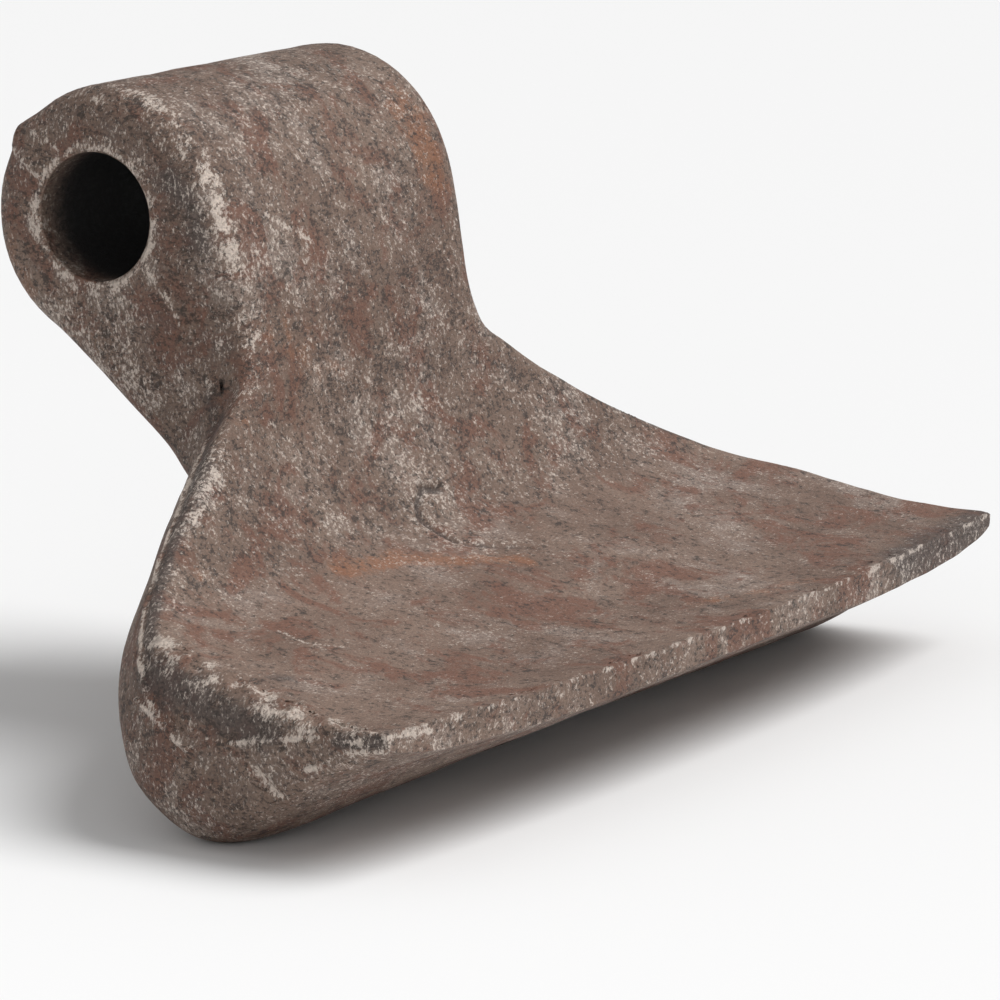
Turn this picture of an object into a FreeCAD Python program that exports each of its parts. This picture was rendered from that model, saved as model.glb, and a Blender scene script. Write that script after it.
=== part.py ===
# Hammer flail for a rotary flail head: one closed-die steel forging.
#
# Frame, millimetres: origin on the bore axis at mid width, +X along the bore,
# the concave striking face looks toward -Y, +Z is up and the heel of the
# blade is the lowest line of the part.
#
# The shape is built in the frame of the two forging dies and then tilted into
# place.  In the die frame x is the width, s runs from the hub to the cutting
# edge and t is the direction in which the dies open.
import FreeCAD
import Part
import math
import os
from FreeCAD import Vector

# ---------------------------------------------------------------- dimensions
BORE_D = 16.5            # bore for the swing pin
BORE_BREAK = 0.7         # depth of the broken edge at each bore mouth
HUB_HALF = 30.0          # half width of the hub at the parting line
DIE_TILT = 35.0          # angle between the parting direction and the vertical
DRAFT_FRONT = 3.0        # draft of the front die half, degrees
DRAFT_BACK = 6.0         # draft of the back die half, degrees
DRAFT_GAIN = 0.15        # the hub back starts at the front draft and gains this per mm
LAND = 2.4               # height of the trimmed flash land
MIN_LIP = 0.6            # least distance from the land to the front or back
FRONT_SHARE = 0.8        # most of the front wall that its round may take
BACK_SHARE = 0.95        # most of the back wall that its round may take
EASE = 0.33              # fullness of the back round where it is narrow
EASE_GAIN = 0.008        # it gets flatter by this much per mm of width
EASE_MAX = 0.67          # and no flatter than this
EASE_TURNED = 1.0 / 3.0  # fullness that repeats the front round exactly
EDGE_REACH = 77.2        # reach of the cutting edge in front of the bore
EDGE_BOW = 4.2           # the edge tips are swept back by this much
BLADE_HALF = 78.0        # half width of the blade
TRIM_DROP = 120.0        # the trimming tool starts this far below the bore
TRIM_HIGH = 200.0        # height of the trimming tool
BORE_TOOL = 100.0        # length of the boring tool
FUSE_TOL = 0.003         # shapes closer than this are taken as touching

# Stations along the forging, hub centre to beyond the cutting edge:
#   s, half width, front, parting, back, front round, back round, its width,
#   hollow of the front, camber of the back
STATIONS = (
    (0.9, 30.0, 17.0, 0.0, -17.0, 4.4, 4.4, 4.4, 0.0, 0.0),
    (6.0, 30.0, 16.2, 0.0, -17.4, 4.4, 4.8, 4.8, 0.0, 0.0),
    (11.0, 29.9, 13.9, -0.8, -18.1, 4.4, 5.2, 5.2, 0.0, 0.0),
    (16.0, 29.4, 10.3, -2.6, -19.0, 4.4, 5.4, 5.4, 0.0, 0.0),
    (20.5, 28.6, 6.4, -5.4, -19.9, 4.4, 5.6, 5.6, 0.0, 0.0),
    (24.5, 28.0, 2.7, -8.2, -20.7, 4.2, 5.6, 5.6, 0.0, 0.0),
    (27.5, 28.6, -0.3, -10.2, -21.2, 3.8, 5.4, 5.4, 0.1, 0.0),
    (29.5, 30.3, -2.3, -11.0, -21.6, 3.4, 5.2, 5.2, 0.1, 0.0),
    (31.5, 34.1, -4.2, -11.8, -22.0, 3.0, 5.0, 5.0, 0.2, 0.0),
    (35.0, 41.2, -7.3, -12.9, -22.8, 2.8, 5.0, 5.0, 0.4, 0.0),
    (40.0, 50.1, -10.3, -14.2, -24.0, 2.5, 5.0, 5.0, 0.7, 0.0),
    (45.0, 58.7, -12.4, -15.6, -25.2, 2.4, 5.0, 5.0, 0.9, 0.0),
    (50.0, 66.7, -13.6, -17.0, -26.6, 2.6, 5.0, 5.4, 1.0, 0.0),
    (54.0, 71.2, -13.3, -18.0, -27.8, 3.0, 5.6, 6.2, 1.0, 0.0),
    (58.0, 74.4, -12.2, -19.0, -29.0, 3.6, 6.2, 6.8, 1.0, 0.0),
    (62.0, 76.6, -10.6, -19.5, -29.9, 4.0, 6.8, 7.2, 1.0, -0.1),
    (68.0, 77.9, -8.1, -17.6, -30.0, 4.0, 7.8, 7.4, 1.0, -0.5),
    (74.0, 78.3, -5.8, -12.9, -27.9, 3.0, 8.2, 7.6, 1.0, -1.2),
    (79.0, 78.4, -3.3, -8.0, -23.3, 2.0, 8.8, 10.5, 0.9, -1.2),
    (84.0, 78.2, -0.4, -2.2, -15.1, 1.2, 9.4, 23.0, 0.8, -0.2),
    (88.0, 78.0, 2.5, 2.2, -8.2, 0.7, 8.6, 36.0, 0.8, 0.0),
    (91.0, 77.8, 4.9, 4.9, -3.0, 0.5, 7.4, 42.0, 0.8, 0.0),
    (94.0, 77.5, 7.3, 7.3, 2.7, 0.4, 4.2, 42.0, 0.8, 0.0),
)
FRONT_ROUND = ("front_in", "front_corner", "front_out")
WALL = ("front_out", "land_top", "land_low", "back_out")
BACK_ROUND = ("back_out", "back_wall", "back_foot", "back_in")


# ------------------------------------------------------------ section curves
def slope(index):
    """Rate of growth of the half width at a station."""
    lo = max(index - 1, 0)
    hi = min(index + 1, len(STATIONS) - 1)
    return (STATIONS[hi][1] - STATIONS[lo][1]) / (STATIONS[hi][0] - STATIONS[lo][0])


def half_section(index):
    """Named (x, t) points of one side of a section, and its middle heights."""
    s, half, front, part, back, r_front, r_back, a_back, dish, camber = STATIONS[index]
    oblique = math.sqrt(1.0 + slope(index) ** 2)
    top = min(part + 0.5 * LAND, front - MIN_LIP)
    low = max(part - 0.5 * LAND, back + MIN_LIP)
    draft_back = min(DRAFT_FRONT + DRAFT_GAIN * (s - STATIONS[0][0]), DRAFT_BACK)
    g_front = math.tan(math.radians(DRAFT_FRONT)) * oblique
    g_back = math.tan(math.radians(draft_back)) * oblique
    x_front = half - (front - top) * g_front
    x_back = half - (low - back) * g_back
    rise = back + camber
    b_front = min(r_front, FRONT_SHARE * (front - top))
    b_back = min(r_back, BACK_SHARE * (low - rise))
    ease = EASE_TURNED if index == 0 else min(EASE + EASE_GAIN * a_back, EASE_MAX)
    return {
        "front_in": (x_front - r_front * oblique, front),
        "front_corner": (x_front, front),
        "front_out": (x_front + b_front * g_front, front - b_front),
        "land_top": (half, top),
        "land_low": (half, low),
        "back_out": (x_back + b_back * g_back, rise + b_back),
        "back_wall": (x_back + ease * b_back * g_back, rise + ease * b_back),
        "back_foot": (x_back - ease * a_back * oblique, rise),
        "back_in": (x_back - a_back * oblique, rise),
        "hollow": (0.0, front - 2.0 * dish),
        "belly": (0.0, rise - 2.0 * camber),
    }


def at(s, point, side=1.0):
    """Vector to a die-frame point (x, t) on the section plane s."""
    return Vector(side * point[0], -s, point[1])


def bezier(points):
    """Edge along the Bezier curve with these poles."""
    curve = Part.BezierCurve()
    curve.setPoles(points)
    return curve.toShape()


def walls(points):
    """Straight edges through the points."""
    return [Part.makeLine(a, b) for a, b in zip(points, points[1:])]


def section_wire(index):
    """Closed outline of one section, starting with the front face."""
    s = STATIONS[index][0]
    h = half_section(index)
    front = [at(s, h["front_in"], -1.0), at(s, h["hollow"]), at(s, h["front_in"])]
    back = [at(s, h["back_in"]), at(s, h["belly"]), at(s, h["back_in"], -1.0)]
    edges = [bezier(front)]
    edges.append(bezier([at(s, h[k]) for k in FRONT_ROUND]))
    edges.extend(walls([at(s, h[k]) for k in WALL]))
    edges.append(bezier([at(s, h[k]) for k in BACK_ROUND]))
    edges.append(bezier(back))
    edges.append(bezier([at(s, h[k], -1.0) for k in reversed(BACK_ROUND)]))
    edges.extend(walls([at(s, h[k], -1.0) for k in reversed(WALL)]))
    edges.append(bezier([at(s, h[k], -1.0) for k in reversed(FRONT_ROUND)]))
    return Part.Wire(edges)


def hub_back():
    """Rear half of the hub: the first section's front turned about the hub axis."""
    s = STATIONS[0][0]
    h = half_section(0)
    left = [at(s, h[k], -1.0) for k in FRONT_ROUND]
    right = [at(s, h[k]) for k in FRONT_ROUND]
    axis_right = Vector(HUB_HALF, -s, 0.0)
    axis_left = Vector(-HUB_HALF, -s, 0.0)
    land_right = at(s, h["land_top"])
    land_left = at(s, h["land_top"], -1.0)
    edges = walls([left[0], right[0]])
    edges.append(bezier(right))
    edges.extend(walls([right[2], land_right, axis_right, axis_left, land_left, left[2]]))
    edges.append(bezier(left[::-1]))
    face = Part.Face(Part.Wire(edges))
    return face.revolve(Vector(0.0, -s, 0.0), Vector(-1.0, 0.0, 0.0), 180.0)


# -------------------------------------------------------------------- solids
blade = Part.makeLoft([section_wire(i) for i in range(len(STATIONS))], True, False)
forging = blade.fuse(hub_back()).removeSplitter()
forging.rotate(Vector(0, 0, 0), Vector(1, 0, 0), DIE_TILT)

# the cutting edge is trimmed upright along a shallow bow
trim_r = (BLADE_HALF ** 2 + EDGE_BOW ** 2) / (2.0 * EDGE_BOW)
trim_base = Vector(0.0, trim_r - EDGE_REACH, -TRIM_DROP)
trim = Part.makeCylinder(trim_r, TRIM_HIGH, trim_base)
forging = forging.common([trim], FUSE_TOL)

# bore right through, its mouths broken at 45 degrees
bore_start = Vector(-0.5 * BORE_TOOL, 0.0, 0.0)
bore = Part.makeCylinder(0.5 * BORE_D, BORE_TOOL, bore_start, Vector(1, 0, 0))
forging = forging.cut(bore)
for side in (-1.0, 1.0):
    mouth = Vector(side * (HUB_HALF - BORE_BREAK), 0.0, 0.0)
    wide = 0.5 * BORE_D + 2.0 * BORE_BREAK
    cone = Part.makeCone(0.5 * BORE_D, wide, 2.0 * BORE_BREAK, mouth, Vector(side, 0, 0))
    forging = forging.cut(cone)

print("solids", len(forging.Solids), "valid", forging.isValid(), "volume", forging.Volume)

os.makedirs("parts", exist_ok=True)
forging.Solids[0].exportStep("parts/hammer_forging.step")
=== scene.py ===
import math

import bmesh
import bpy
import numpy as np
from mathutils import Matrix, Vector, noise


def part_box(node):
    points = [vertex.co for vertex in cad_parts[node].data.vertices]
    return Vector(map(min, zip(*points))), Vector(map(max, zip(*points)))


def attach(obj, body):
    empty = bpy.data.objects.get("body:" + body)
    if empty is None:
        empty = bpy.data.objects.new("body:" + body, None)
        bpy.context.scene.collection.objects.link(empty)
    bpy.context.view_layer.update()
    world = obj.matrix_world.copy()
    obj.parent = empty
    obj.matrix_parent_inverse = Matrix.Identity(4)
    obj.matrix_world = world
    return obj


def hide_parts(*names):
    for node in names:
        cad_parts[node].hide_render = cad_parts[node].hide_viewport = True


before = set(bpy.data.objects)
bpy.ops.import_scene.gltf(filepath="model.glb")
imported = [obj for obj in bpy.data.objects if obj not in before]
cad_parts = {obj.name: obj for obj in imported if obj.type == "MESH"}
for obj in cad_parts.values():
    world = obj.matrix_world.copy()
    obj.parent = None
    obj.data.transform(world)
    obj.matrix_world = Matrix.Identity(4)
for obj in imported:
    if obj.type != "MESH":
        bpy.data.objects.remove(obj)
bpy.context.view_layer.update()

# The skin of a forged hammer flail: the CAD mesh made finer, its relief and wear, and the stage.
MM = 0.001
NODE = "hammer_forging"

# ----------------------------------------------------------------------- mesh
WELD = 0.0005                # vertices closer than this are one, mm
EDGE_MAX = 2.2               # longest mesh edge of the forging, mm
EDGE_FINE = 0.45             # longest mesh edge beside a crisp mark, mm
CRISP_REACH = 1.6            # how far the fine mesh reaches from a crisp mark, mm
PASSES = 6                   # rounds of halving the edges that are too long
CREASE = math.radians(32.0)  # edges sharper than this keep a hard normal

# -------------------------------------------------------- shape of the forging
# Millimetres.  The two dies opened along t; s runs from the hub to the cutting edge.
DIE_TILT = math.radians(35.0)
COS = math.cos(DIE_TILT)
SIN = math.sin(DIE_TILT)
LAND = 2.4                   # height of the trimmed flash land
LAND_TOP = 0.5 * LAND        # its upper edge above the parting line
FLANK_LIFT = 1.6             # painted shade along the flank lies this far above the land
HEEL_S = 62.0                # the flash and the flank are marked up to here
EDGE_REACH = 77.2            # reach of the cutting edge in front of the bore
EDGE_BOW = 4.2               # the edge tips are swept back by this much
EDGE_Z = -48.8               # height of the top arris of the cutting edge
BLADE_HALF = 78.0            # half width of the blade
HUB_FACE = 29.2              # the hub's end faces start about here
MOUTH_R = 8.9                # radius of the broken edge of the bore mouth

# parting line of the side walls, as in the CAD: (s, half width, t)
PARTING = ((-17.0, 30.0, 0.0), (6.0, 30.0, 0.0), (11.0, 29.9, -0.8), (16.0, 29.4, -2.6),
           (20.5, 28.6, -5.4), (24.5, 28.0, -8.2), (27.5, 28.6, -10.2), (29.5, 30.3, -11.0),
           (31.5, 34.1, -11.8), (35.0, 41.2, -12.9), (40.0, 50.1, -14.2), (45.0, 58.7, -15.6),
           (50.0, 66.7, -17.0), (54.0, 71.2, -18.0), (58.0, 74.4, -19.0), (62.0, 76.6, -19.5),
           (68.0, 77.9, -17.6), (74.0, 78.3, -12.9), (79.0, 78.4, -8.0), (84.0, 78.2, -2.2),
           (88.0, 78.0, 2.2), (91.0, 77.8, 4.9))

# Marks on the skin: lines through (x, y, z) in mm, which are laid on the surface.  Almost all
# of these points were picked on the photo, then projected onto the CAD and rounded by scripts.
RIDGE = ((-26.5, -7.0, 15.0), (-28.0, -10.5, 12.0), (-27.5, -15.5, 7.0), (-28.0, -18.0, 0.0),
         (-25.5, -22.0, -14.5), (-26.5, -22.5, -17.5))
RIDGE_LOW = ((-37.5, -24.5, -26.0), (-41.5, -26.0, -29.5), (-54.5, -28.0, -35.0))
LIP = ((-74.5, -36.5, -49.5), (-76.5, -39.5, -50.5), (-78.0, -45.5, -53.5))
UPPER_FOLD = ((-78.0, -51.5, -52.0), (-78.5, -66.0, -49.5), (-77.5, -72.0, -48.5))
LOWER_FOLD = ((-78.0, -60.0, -54.5), (-78.0, -63.5, -53.5), (-78.0, -65.5, -51.5),
              (-77.5, -72.5, -50.5))
GOUGE = ((-78.0, -55.0, -55.0), (-77.5, -58.0, -58.0))
WORN_CORNER = ((-71.5, -37.0, -43.0), (-73.5, -44.5, -44.5), (-76.0, -58.0, -47.5),
               (-78.0, -67.5, -49.0))
WORN_HOT = ((-77.0, -54.5, -47.5), (-77.5, -57.0, -48.0), (-76.5, -60.0, -47.5))
DARK_CORNER = ((-73.5, -37.0, -46.0), (-76.5, -43.5, -47.0), (-78.0, -50.0, -49.0),
               (-78.0, -57.0, -50.0))
DARK_TIP = ((-78.0, -66.5, -50.0), (-78.0, -72.0, -49.5))
DARK_SPOT = ((-69.0, -52.0, -46.0), (-67.0, -53.0, -46.0))
DARK_NECK = ((-28.0, -16.5, -22.0), (-30.5, -18.5, -25.5), (-42.0, -24.5, -28.0),
             (-49.5, -27.5, -32.5))
DARK_HUB = ((-29.5, -11.5, 5.5), (-29.5, -14.5, 2.0), (-29.0, -15.5, -3.0))
# painted shade where the top of the right tip rolls down
RIGHT_TIP_SHADE = ((46.5, -75.5, -49.5), (63.5, -74.0, -50.0), (77.0, -73.0, -49.0))
ORANGE = (((-32.0, -24.0, -23.5),), ((-54.5, -31.5, -38.5),), ((-77.5, -49.0, -48.0),))
RUST_HUB = ((21.0, -15.0, 9.0), (21.5, -17.0, 5.0), (22.5, -18.5, 1.0))
RUST_MID = ((-20.5, -22.0, -14.0), (-10.5, -23.0, -20.5))
RUST_STREAK = ((-27.5, -35.0, -42.0), (-14.5, -36.0, -42.5), (3.0, -44.5, -45.0))
RUST_RIM = ((-29.0, 13.5, -4.0), (-29.0, 10.5, -10.5))
RUST_EDGE = ((7.5, -67.0, -48.5), (17.0, -70.5, -48.5), (29.0, -72.5, -48.5))
IMPRINT = ((5.0, -30.0, -37.5), (1.5, -29.5, -37.0), (-1.5, -30.5, -38.5), (-3.0, -32.0, -40.0),
           (-1.5, -36.0, -42.5))
IMPRINT_LOW = ((-0.5, -37.0, -43.0), (8.0, -41.5, -44.5))
IMPRINT_LOW_SHARE = 0.6      # depth of the lower arc as a share of the upper
SCRATCHES = (((-53.5, -42.5, -44.0), (-54.0, -47.0, -45.0)),
             ((-53.5, -47.5, -45.0), (-50.0, -50.5, -46.0)),
             ((-19.0, -18.5, 0.5), (-10.0, -19.5, -4.0)))
END_LINES = (((-29.0, 9.5, 10.0), (-29.5, 4.5, 8.0)), ((-29.0, 12.5, 7.5), (-29.5, 8.5, 4.5)),
             ((-30.0, -7.5, -5.0), (-29.5, -11.5, -10.0), (-29.0, -13.0, -13.5)))
GREY_NECK = ((-28.5, 3.0, -14.0), (-28.5, -1.5, -18.5), (-27.5, -4.5, -22.5))
RIM_TOP = ((-28.0, 0.0, 15.5), (-27.0, -4.0, 16.0), (-27.0, -7.5, 14.5))
EDGE_LEFT = ((-78.0, -73.0, -49.0), (-69.5, -73.5, -49.5))
FLASH_BUMP = ((-28.0, 13.0, 10.5), (-24.0, 13.5, 11.0))

# Heights and depths of the relief, mm.
LUMP = 0.20
LAND_PROUD = 0.22
LAND_RAGGED = 0.12
BURR = 0.22
FOLD_HIGH = 0.45
WRINKLE = 0.60
GOUGE_DEEP = 0.55
IMPRINT_RIM = 0.30
IMPRINT_DEEP = 0.55
END_LINE_HIGH = 0.22
FLASH_BUMP_HIGH = 0.75
SCRATCH_DEEP = 0.10
NICK = 0.45                  # share of the ragged noise in the height of the trimmed face
NICK_TOP = 0.3               # the noise is cut off above this

# ----------------------------------------------------------------- appearance
BROWN_DARK = (0.118, 0.075, 0.055)
BROWN_LIGHT = (0.163, 0.112, 0.085)
GREY_STEEL = (0.197, 0.155, 0.131)
RED_RUST = (0.125, 0.056, 0.036)
ORANGE_RUST = (0.19, 0.080, 0.038)
# dark of scale and dirt, also used for the painted shade
SCALE_AND_SHADE_DARK = (0.045, 0.036, 0.033)
SPECK_DARK = (0.024, 0.017, 0.014)
BARE_STEEL = (0.50, 0.43, 0.375)
# painted shade deep inside the bore
BORE_SHADE_BLACK = (0.004, 0.003, 0.003)
CALM_GAIN = (1.18, 1.15, 1.15)  # the scoop's colour is multiplied by up to this
FINE_GAIN = (1.5, 1.5, 1.5)     # the finest grain multiplies the colour by up to this
BUMP_STRENGTH = 0.7
BUMP_HEIGHT = 0.3 * MM


def smooth(a, b, v):
    """0 below a, 1 above b, smooth between; a may be above b."""
    k = np.clip((v - a) / (b - a), 0.0, 1.0)
    return k * k * (3.0 - 2.0 * k)


def fbm(points, scale, octaves, seed):
    """Signed fractal noise at each point, scale in mm."""
    shift = Vector((seed * 17.13, seed * 7.71, seed * 3.37))
    out = np.empty(len(points))
    for i, p in enumerate(points):
        out[i] = noise.fractal(Vector(p) / scale + shift, 0.9, 2.0, octaves)
    return out


def distance(points, line):
    """Distance of each point to a line of points."""
    line = np.array(line, float)
    if len(line) == 1:
        return np.linalg.norm(points - line[0], axis=1)
    best = np.full(len(points), np.inf)
    for a, b in zip(line, line[1:]):
        k = np.clip((points - a) @ (b - a) / ((b - a) @ (b - a)), 0.0, 1.0)
        best = np.minimum(best, np.linalg.norm(points - a - k[:, None] * (b - a), axis=1))
    return best


def mark(points, line, width):
    """1 on the line laid on the skin, falling to 0 over about the width."""
    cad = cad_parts[NODE]
    laid = [cad.closest_point_on_mesh(Vector(p) * MM)[1] / MM for p in line]
    return np.exp(-((distance(points, laid) / width) ** 2))


def marks(points, lines, width):
    """The strongest of several marks of one width."""
    return np.maximum.reduce([mark(points, line, width) for line in lines])


def parting_line(first, side, lift):
    """The parting line of one side from a value of s to the heel, moved by lift along t."""
    line = []
    for s, half, t in PARTING:
        if first <= s <= HEEL_S:
            high = t + lift
            line.append((side * half, -(COS * s + SIN * high), COS * high - SIN * s))
    return tuple(line)


def refined(mesh, lines):
    """A triangle mesh in mm from the CAD mesh, fine near the lines."""
    bm = bmesh.new()
    bm.from_mesh(mesh)
    bmesh.ops.scale(bm, vec=(1.0 / MM,) * 3, verts=bm.verts)
    bmesh.ops.remove_doubles(bm, verts=bm.verts, dist=WELD)
    bmesh.ops.triangulate(bm, faces=bm.faces)
    for _ in range(PASSES):
        ends = np.array([[v.co for v in e.verts] for e in bm.edges])
        size = np.linalg.norm(ends[:, 0] - ends[:, 1], axis=1)
        middle = ends.mean(axis=1)
        near = np.minimum.reduce([distance(middle, line) for line in lines])
        limit = np.where(near < CRISP_REACH, EDGE_FINE, EDGE_MAX)
        bm.edges.ensure_lookup_table()
        too_long = np.nonzero(size > limit)[0]
        if not len(too_long):
            break
        bmesh.ops.subdivide_edges(bm, edges=[bm.edges[i] for i in too_long], cuts=1)
        wide = [f for f in bm.faces if len(f.verts) > 3]
        bmesh.ops.triangulate(bm, faces=wide, quad_method="SHORT_EDGE")
    return bm


# ------------------------------------------------------------- lines and mesh
FLASH = [parting_line(24.0, side, LAND_TOP) for side in (-1.0, 1.0)]
# lines of painted shade on the rounding above each flash land, where the side turns away from the
# light
FLANK_SHADE = [parting_line(29.0, side, LAND_TOP + FLANK_LIFT) for side in (-1.0, 1.0)]
TOP_EDGE = tuple((x, EDGE_BOW * (x / BLADE_HALF) ** 2 - EDGE_REACH, EDGE_Z)
                 for x in range(-78, 79, 6))
FOLDS = (LIP, UPPER_FOLD, LOWER_FOLD)
CRISP = (*FOLDS, GOUGE, WORN_CORNER, *FLASH, TOP_EDGE, IMPRINT, IMPRINT_LOW, FLASH_BUMP,
         *END_LINES, *SCRATCHES)

bm = refined(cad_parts[NODE].data, CRISP)
bm.normal_update()
for e in bm.edges:
    e.smooth = not (e.is_manifold and e.calc_face_angle() > CREASE)
co = np.array([v.co for v in bm.verts])
no = np.array([v.normal for v in bm.verts])

x = co[:, 0]
u = -co[:, 1]
v = co[:, 2]
s = COS * u - SIN * v
t = SIN * u + COS * v
sideways = np.abs(no[:, 0])
n_t = COS * no[:, 2] - SIN * no[:, 1]
radius = np.hypot(u, v)
parting_s, _, parting_t = zip(*PARTING)
above_parting = t - np.interp(s, parting_s, parting_t)

# --------------------------------------------------------------------- relief
# trimmed flash land, slightly proud and ragged, with a burr along its front edge
wall = smooth(0.75, 0.45, np.abs(n_t)) * smooth(88.0, 84.0, s)
land = smooth(LAND_TOP + 0.25, LAND_TOP - 0.10, np.abs(above_parting)) * wall
rag = fbm(np.column_stack((x, s, 0 * s)), 3.0, 3, 3)
flash = marks(co, FLASH, 0.4)

# folds, worn corner and gouge near the left end of the blade
fold = marks(co, FOLDS, 0.38)
worn_corner = mark(co, WORN_CORNER, 2.6)
wrinkle = mark(co, WORN_CORNER, 3.4) * fbm(co * (1.0, 1.0, 1.6), 2.0, 3, 4)
gouge = mark(co, GOUGE, 0.65)

# imprint in the scoop, lines on the hub's end face and scratches
imprint, wide_imprint = (
    np.maximum(mark(co, IMPRINT, width), IMPRINT_LOW_SHARE * mark(co, IMPRINT_LOW, width))
    for width in (0.8, 2.0))
rim = wide_imprint - imprint
end_lines = marks(co, END_LINES, 0.4)
scratch = marks(co, SCRATCHES, 0.35)

move = LUMP * fbm(co, 14.0, 3, 1)
move += land * (LAND_PROUD + LAND_RAGGED * rag)
move += BURR * flash * (0.9 + 0.6 * rag)
move += FOLD_HIGH * fold * (0.8 + rag)
move += WRINKLE * wrinkle
move -= GOUGE_DEEP * gouge
move += IMPRINT_RIM * rim - IMPRINT_DEEP * imprint
move += END_LINE_HIGH * end_lines
move += FLASH_BUMP_HIGH * mark(co, FLASH_BUMP, 2.2)
move -= SCRATCH_DEEP * scratch
move *= 1.0 - smooth(9.6, 9.1, radius)  # the bore keeps its size

# the trimmed face is ragged in height
edge_face = smooth(71.5, 72.5, u) * smooth(86.5, 88.0, s) * smooth(0.35, 0.75, n_t)
nick = fbm(np.column_stack((x, 0 * x, 0 * x)), 5.0, 4, 5)

co = co + no * move[:, None]
co[:, 2] += edge_face * NICK * np.minimum(nick, NICK_TOP)
for vert, p in zip(bm.verts, co):
    vert.co = p * MM

mesh = bpy.data.meshes.new("forging_skin")
bm.to_mesh(mesh)
bm.free()
mesh.validate()  # drops faces that are not valid
for poly in mesh.polygons:
    poly.use_smooth = True


# ---------------------------------------------------- zones for the material
def attribute(name, layers):
    """The strongest of the layers at each vertex, from 0 to 1, for the material to read."""
    a = mesh.attributes.new(name, "FLOAT", "POINT")
    values = np.clip(np.maximum.reduce(layers), 0.0, 1.0)
    a.data.foreach_set("value", values.astype(np.float32))


clump = fbm(co, 2.0, 4, 6)
# sideways-facing walls, which are darkened below as painted shade
end_wall_shade = smooth(0.55, 0.85, sideways) * smooth(0.55, 0.25, n_t)
mouth = np.exp(-(((radius - MOUTH_R) / 0.5) ** 2)) * smooth(HUB_FACE - 0.6, HUB_FACE, np.abs(x))
in_bore = smooth(9.0, 8.5, radius) * smooth(0.8, 0.5, sideways)

# bright worn metal, broken up by the clumps, and a painted highlight along the top arris of the
# flash land
attribute("wear_and_highlight", [
    (0.35 + 0.9 * clump) * mark(co, RIDGE, 1.5),
    (0.35 + 0.8 * clump) * mark(co, RIDGE_LOW, 1.5),
    (0.32 + 1.2 * clump) * worn_corner,
    0.8 * mark(co, WORN_HOT, 1.2),
    (0.6 + 1.2 * clump) * fold,
    0.8 * gouge,
    (0.6 + clump) * mark(co, EDGE_LEFT, 0.5),
    (0.5 + clump) * end_lines,
    0.6 * scratch,
    (0.35 + clump) * mark(co, RIM_TOP, 1.6),
    (0.25 + clump) * mark(co, TOP_EDGE, 0.5),
    # painted highlight: the top arris of the trimmed flash land made bright as if it caught the
    # light
    (0.6 + 1.2 * clump) * flash,
    0.3 * mark(co, GREY_NECK, 5.0),
    0.6 * rim,
    (0.7 + clump) * mouth])
# dark scale and dirt, and painted shade on the sideways-facing walls, along the flanks and at the
# right tip
attribute("dark", [
    0.85 * mark(co, DARK_CORNER, 3.2),
    1.1 * mark(co, DARK_TIP, 1.1),
    0.7 * mark(co, DARK_SPOT, 1.6),
    0.7 * mark(co, DARK_NECK, 1.8),
    0.7 * mark(co, DARK_HUB, 2.8),
    # painted shade on the sideways-facing walls
    0.35 * end_wall_shade,
    # painted shade on the right tip
    0.75 * mark(co, RIGHT_TIP_SHADE, 5.0),
    0.8 * imprint,
    # painted shade along the flanks above the flash land
    0.8 * marks(co, FLANK_SHADE, 1.3)])
# orange rust
attribute("rust", [
    marks(co, ORANGE, 1.2),
    0.85 * mark(co, RUST_HUB, 4.5),
    0.5 * mark(co, RUST_MID, 5.0),
    0.85 * mark(co, RUST_STREAK, 2.6),
    0.7 * mark(co, RUST_RIM, 2.4),
    0.6 * mark(co, RUST_EDGE, 2.2)])
# the scoop is smoother and lighter; inside the bore black is painted as shade, darker towards its
# middle
attribute("calm", [smooth(46.0, 56.0, s) * smooth(0.5, 0.8, n_t)])
attribute("bore", [in_bore * smooth(29.8, 23.0, np.abs(x))])

skin = bpy.data.objects.new("forging_skin", mesh)
bpy.context.scene.collection.objects.link(skin)

# ------------------------------------------------------------------- material
steel = bpy.data.materials.new("forged_steel")
steel.use_nodes = True
nt = steel.node_tree
nt.nodes.clear()


def node(kind, **props):
    """A new node with these properties."""
    n = nt.nodes.new(kind)
    for k, val in props.items():
        setattr(n, k, val)
    return n


def feed(value, sock):
    """Link a socket, or set a colour or a number, on the input."""
    if isinstance(value, bpy.types.NodeSocket):
        nt.links.new(value, sock)
    elif isinstance(value, tuple):
        sock.default_value = (*value, 1.0)
    else:
        sock.default_value = value


def stretched(rotation, scale):
    """Object coordinates turned and stretched, for streaky noise."""
    n = node("ShaderNodeMapping")
    n.inputs["Rotation"].default_value = rotation
    n.inputs["Scale"].default_value = scale
    feed(coords, n.inputs["Vector"])
    return n.outputs["Vector"]


def noise_tex(scale, detail, rough, vector=None, distortion=0.0):
    """Noise with features of about scale mm."""
    n = node("ShaderNodeTexNoise")
    n.inputs["Scale"].default_value = 1.0 / (scale * MM)
    n.inputs["Detail"].default_value = detail
    n.inputs["Roughness"].default_value = rough
    n.inputs["Distortion"].default_value = distortion
    feed(vector or coords, n.inputs["Vector"])
    return n.outputs["Fac"]


def ramp(fac, low, high, start, end, how="LINEAR"):
    """start below low and end above high; low may be above high."""
    n = node("ShaderNodeMapRange", interpolation_type=how)
    feed(fac, n.inputs["Value"])
    n.inputs["From Min"].default_value = low
    n.inputs["From Max"].default_value = high
    n.inputs["To Min"].default_value = start
    n.inputs["To Max"].default_value = end
    return n.outputs["Result"]


def step(fac, low, high, top=1.0):
    """0 below low, top above high, smooth between."""
    return ramp(fac, low, high, 0.0, top, "SMOOTHSTEP")


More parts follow.
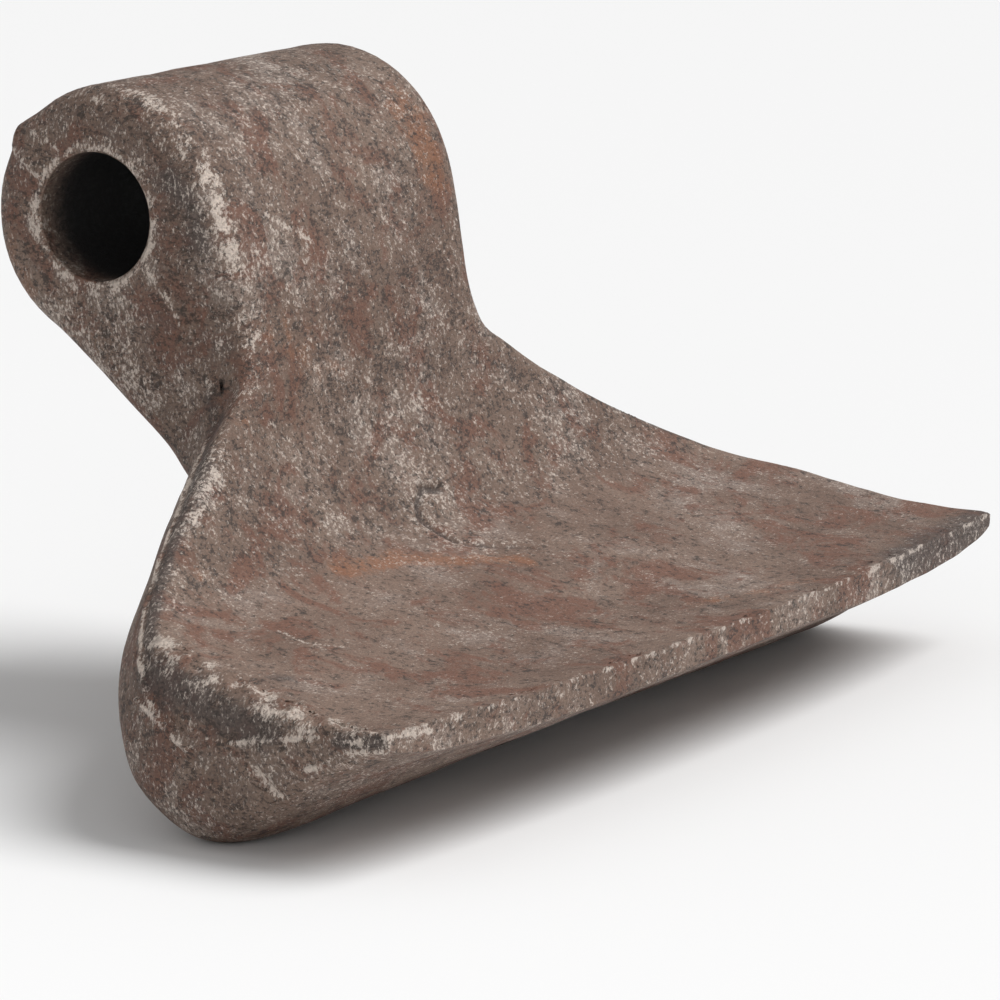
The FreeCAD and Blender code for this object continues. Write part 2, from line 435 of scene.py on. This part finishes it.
def calc(op, a, b):
    """One arithmetic step."""
    n = node("ShaderNodeMath", operation=op)
    feed(a, n.inputs[0])
    feed(b, n.inputs[1])
    return n.outputs[0]


def lean(noise_value, gain):
    """The noise about its mean, times the gain."""
    return calc("MULTIPLY", calc("SUBTRACT", noise_value, 0.5), gain)


def mix(fac, a, b, blend="MIX"):
    """Colour a with b over it by fac."""
    n = node("ShaderNodeMix", data_type="RGBA", blend_type=blend)
    feed(fac, n.inputs["Factor"])
    feed(a, n.inputs[6])
    feed(b, n.inputs[7])
    return n.outputs[2]


def zone(name):
    """A vertex attribute of the skin."""
    return node("ShaderNodeAttribute", attribute_name=name).outputs["Fac"]


coords = node("ShaderNodeTexCoord").outputs["Object"]
wear_and_highlight, darkened, rusted, calm, bore_shade = (
    zone(name) for name in ("wear_and_highlight", "dark", "rust", "calm", "bore"))
blotch = noise_tex(24.0, 4.0, 0.6)
patch = noise_tex(9.0, 6.0, 0.72, distortion=0.6)
grey = noise_tex(11.0, 4.0, 0.65, stretched((0.4, 1.1, 0.2), (1.0, 1.0, 1.0)))
cloud = noise_tex(3.2, 5.0, 0.75)
speck = noise_tex(0.9, 5.0, 0.8, stretched((0.3, 0.2, 0.5), (1.0, 1.0, 1.7)))
fleck = noise_tex(0.7, 5.0, 0.8, stretched((0.9, 0.4, 1.2), (1.0, 1.8, 1.0)))
fine = noise_tex(0.3, 2.0, 0.6)

# brown forged skin with grey, reddish, orange and dark patches
reddish = step(patch, 0.49, 0.60, 0.8)
base = mix(step(blotch, 0.35, 0.65), BROWN_DARK, BROWN_LIGHT)
base = mix(step(grey, 0.48, 0.68, 0.6), base, GREY_STEEL)
base = mix(reddish, base, RED_RUST)
base = mix(step(calc("ADD", rusted, lean(cloud, 2.4)), 0.35, 0.95, 0.7), base, ORANGE_RUST)
# darkened by scale and dirt, and by painted shade, from the dark zones
base = mix(step(calc("ADD", darkened, lean(cloud, 1.6)), 0.2, 0.8, 0.75), base, SCALE_AND_SHADE_DARK)

# dark specks, fewer in the scoop
dim = calc("ADD", calc("ADD", speck, lean(cloud, 0.5)), calc("MULTIPLY", calm, 0.03))
base = mix(step(dim, 0.50, 0.39, 0.85), base, SPECK_DARK)
base = mix(calc("MULTIPLY", calm, 0.6), base, mix(1.0, base, CALM_GAIN, "MULTIPLY"))

# bare flecks, more where worn and on the painted highlight, fewer on rust and in the scoop
lit = calc("ADD", calc("ADD", fleck, lean(cloud, 0.35)), lean(grey, 0.25))
lit = calc("ADD", lit, calc("MULTIPLY", wear_and_highlight, 0.22))
lit = calc("SUBTRACT", lit, calc("MULTIPLY", reddish, 0.03))
lit = calc("SUBTRACT", lit, calc("MULTIPLY", calm, 0.035))
base = mix(step(lit, 0.53, 0.66, 0.85), base, BARE_STEEL)
base = mix(step(fine, 0.3, 0.7), base, mix(1.0, base, FINE_GAIN, "MULTIPLY"))
# painted shade: the inside of the bore goes black, darker towards its middle
base = mix(bore_shade, base, BORE_SHADE_BLACK)

height = calc("ADD", calc("ADD", speck, fleck), calc("MULTIPLY", fine, 0.4))
height = calc("ADD", height, calc("MULTIPLY", cloud, 1.2))
bumper = node("ShaderNodeBump")
bumper.inputs["Strength"].default_value = BUMP_STRENGTH
bumper.inputs["Distance"].default_value = BUMP_HEIGHT
feed(height, bumper.inputs["Height"])

shader = node("ShaderNodeBsdfPrincipled")
feed(base, shader.inputs["Base Color"])
feed(step(lit, 0.52, 0.78, 0.6), shader.inputs["Metallic"])
feed(ramp(lit, 0.45, 0.78, 0.75, 0.42), shader.inputs["Roughness"])
feed(bumper.outputs["Normal"], shader.inputs["Normal"])
out = node("ShaderNodeOutputMaterial")
feed(shader.outputs["BSDF"], out.inputs["Surface"])

skin.data.materials.append(steel)
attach(skin, "root")
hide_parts(NODE)

# ---------------------------------------------------------------------- stage
FLOOR = 4.0                  # half size of the floor, metres
PALE = (0.86, 0.86, 0.86, 1.0)
WHITE = (1.0, 1.0, 1.0, 1.0)

scene = bpy.context.scene
low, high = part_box(NODE)
centre = (low + high) / 2.0

floor_mesh = bpy.data.meshes.new("floor")
corners = [(-FLOOR, -FLOOR, 0.0), (FLOOR, -FLOOR, 0.0), (FLOOR, FLOOR, 0.0), (-FLOOR, FLOOR, 0.0)]
floor_mesh.from_pydata(corners, [], [(0, 1, 2, 3)])
floor = bpy.data.objects.new("floor", floor_mesh)
floor.location = (centre.x, centre.y, low.z)
scene.collection.objects.link(floor)
pale = bpy.data.materials.new("pale_floor")
pale.use_nodes = True
pale_shader = pale.node_tree.nodes["Principled BSDF"]
pale_shader.inputs["Base Color"].default_value = PALE
pale_shader.inputs["Roughness"].default_value = 0.85
floor.data.materials.append(pale)

world = bpy.data.worlds.new("studio")
world.use_nodes = True
sky = world.node_tree.nodes["Background"]
sky.inputs["Color"].default_value = WHITE
sky.inputs["Strength"].default_value = 0.42
scene.world = world


def lamp(name, kind, place, energy, **props):
    """A lamp at a place seen from the middle of the forging, aimed at it."""
    data = bpy.data.lights.new(name, kind)
    data.energy = energy
    for k, val in props.items():
        setattr(data, k, val)
    ob = bpy.data.objects.new(name, data)
    ob.location = centre + Vector(place)
    ob.rotation_euler = (-Vector(place)).to_track_quat("-Z", "Y").to_euler()
    scene.collection.objects.link(ob)


lamp("key", "SUN", (0.30, -0.55, 0.85), 2.6, angle=math.radians(40.0))
lamp("fill", "AREA", (-0.8, -0.35, 0.25), 1.2, shape="RECTANGLE", size=0.5, size_y=0.4)

# --------------------------------------------------------------------- camera
CAMERA_PLACE = (-0.67883, -0.41347, 0.13975)  # from the middle of the forging, metres
CAMERA_LOOK = (0.845, 0.5005, -0.189)
cam_data = bpy.data.cameras.new("camera")
cam_data.lens = 226.8
cam_data.sensor_width = 36.0
cam_data.clip_start = 0.01
cam = bpy.data.objects.new("camera", cam_data)
cam.location = centre + Vector(CAMERA_PLACE)
cam.rotation_euler = Vector(CAMERA_LOOK).to_track_quat("-Z", "Y").to_euler()
scene.collection.objects.link(cam)
scene.camera = cam
scene.view_settings.view_transform = "Standard"
